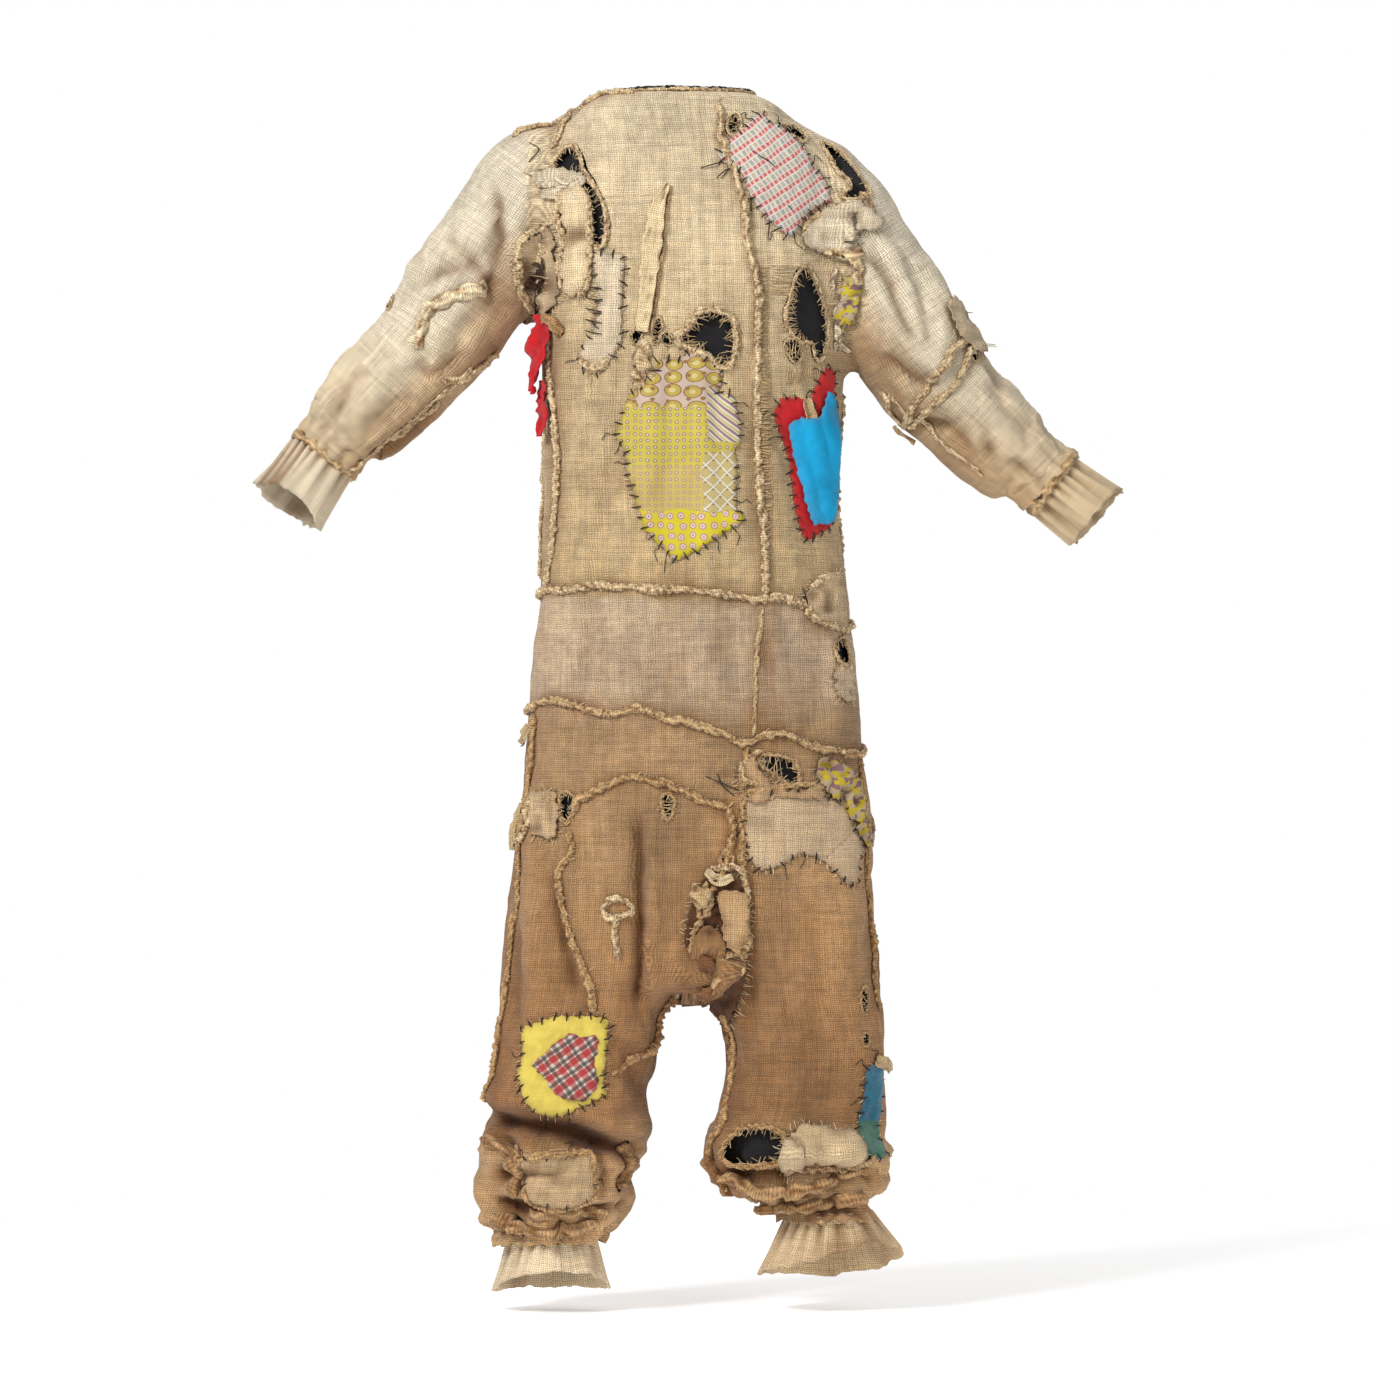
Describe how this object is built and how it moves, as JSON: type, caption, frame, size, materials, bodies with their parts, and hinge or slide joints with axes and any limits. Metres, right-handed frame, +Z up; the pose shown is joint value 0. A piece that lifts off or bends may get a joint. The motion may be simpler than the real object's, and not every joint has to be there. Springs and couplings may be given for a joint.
{
  "type": "scarecrow costume",
  "caption": "One-piece scarecrow coverall of patched burlap over a black lining, with a back zip, elastic wrists and ankles, and frilled cuffs.",
  "frame": {"origin": "middle of the neck opening, level with the shoulder seams that carry the costume", "axes": "+Z up along the body, the wearer faces -Y, and +X is the wearer's left side"},
  "size_m": [1.0194, 0.2485, 1.4151],
  "materials": {
    "burlap": "coarse open plain weave, matt, stained and frayed",
    "burlap_light": "coarse open plain weave, paler, matt",
    "lining_black": "thin smooth woven lining, low sheen",
    "elastic": "burlap casing gathered on elastic",
    "plaid_cotton": "plain cotton woven in red, white and grey-green checks",
    "print_cotton": "printed cotton, yellow and pink flowers and leaves",
    "red_cotton": "plain red cotton, matt",
    "blue_satin": "bright blue satin with a soft sheen",
    "yellow_cotton": "yellow cotton with small spots, matt",
    "teal_felt": "teal felt, matt",
    "zip_tape": "woven tan tape",
    "zip_metal": "dull antique brass"
  },
  "bodies": {
    "torso": {"front_panel": "burlap", "front_side_panel": "burlap", "front_waist_band": "burlap", "side_waist_band": "burlap", "back_panel_right": "burlap", "back_panel_left": "burlap", "back_waist_band": "burlap", "torso_lining_front": "lining_black", "torso_lining_back": "lining_black", "neck_facing": "lining_black", "zip_tape_right": "zip_tape", "zip_tape_left": "zip_tape", "zip_teeth_right": "zip_metal", "zip_teeth_left": "zip_metal", "zip_bottom_stop": "zip_metal", "plaid_patch": "plaid_cotton", "print_patch": "print_cotton", "red_patch": "red_cotton", "blue_patch": "blue_satin", "chest_patch": "burlap_light", "chest_strip": "burlap_light"},
    "upper_sleeve_r": {"upper_sleeve_right": "burlap", "upper_sleeve_lining_right": "lining_black"},
    "upper_sleeve_l": {"upper_sleeve_left": "burlap", "upper_sleeve_lining_left": "lining_black"},
    "lower_sleeve_r": {"lower_sleeve_right": "burlap", "lower_sleeve_lining_right": "lining_black", "wrist_elastic_right": "elastic", "wrist_cuff_right": "burlap_light"},
    "lower_sleeve_l": {"lower_sleeve_left": "burlap", "lower_sleeve_lining_left": "lining_black", "wrist_elastic_left": "elastic", "wrist_cuff_left": "burlap_light"},
    "hips": {"hip_panel_right": "burlap", "hip_panel_left": "burlap", "seat_panel_right": "burlap", "seat_panel_left": "burlap", "hip_lining": "lining_black", "crotch_gusset": "burlap", "thigh_patch": "burlap_light"},
    "leg_r": {"leg_right": "burlap", "leg_lining_right": "lining_black", "ankle_elastic_right": "elastic", "ankle_cuff_right": "burlap_light", "yellow_knee_patch": "yellow_cotton", "plaid_knee_patch": "plaid_cotton", "shin_patch": "burlap_light"},
    "leg_l": {"leg_left": "burlap", "leg_lining_left": "lining_black", "ankle_elastic_left": "elastic", "ankle_cuff_left": "burlap_light", "teal_patch": "teal_felt"},
    "slider": {"zip_slider": "zip_metal"},
    "pull": {"zip_pull": "zip_metal"}
  },
  "joints": [
    {"name": "shoulder_raise_right", "type": "hinge", "parent": "torso", "child": "upper_sleeve_r", "pos_m": [-0.191, -0.008, -0.112], "axis": [0, 1, 0], "range_deg": [-15, 50]},
    {"name": "elbow_bend_right", "type": "hinge", "parent": "upper_sleeve_r", "child": "lower_sleeve_r", "pos_m": [-0.3118, -0.008, -0.2911], "axis": [-0.829, 0, 0.5592], "range_deg": [0, 75]},
    {"name": "shoulder_raise_left", "type": "hinge", "parent": "torso", "child": "upper_sleeve_l", "pos_m": [0.17, -0.008, -0.142], "axis": [0, -1, 0], "range_deg": [-10, 50]},
    {"name": "elbow_bend_left", "type": "hinge", "parent": "upper_sleeve_l", "child": "lower_sleeve_l", "pos_m": [0.2942, -0.008, -0.3332], "axis": [-0.8387, 0, -0.5446], "range_deg": [0, 75]},
    {"name": "waist_bend", "type": "hinge", "parent": "torso", "child": "hips", "pos_m": [0, -0.008, -0.765], "axis": [-1, 0, 0], "range_deg": [-20, 30]},
    {"name": "leg_swing_right", "type": "hinge", "parent": "hips", "child": "leg_r", "pos_m": [-0.122, -0.008, -0.975], "axis": [-1, 0, 0], "range_deg": [-20, 30]},
    {"name": "leg_swing_left", "type": "hinge", "parent": "hips", "child": "leg_l", "pos_m": [0.123, -0.008, -0.975], "axis": [-1, 0, 0], "range_deg": [-20, 30]},
    {"name": "zip_slide", "type": "slide", "parent": "torso", "child": "slider", "axis": [0, 0, -1], "range_m": [0, 0.48]},
    {"name": "zip_pull_flip", "type": "hinge", "parent": "slider", "child": "pull", "pos_m": [0, 0.106, -0.0605], "axis": [1, 0, 0], "range_deg": [0, 150]}
  ]
}
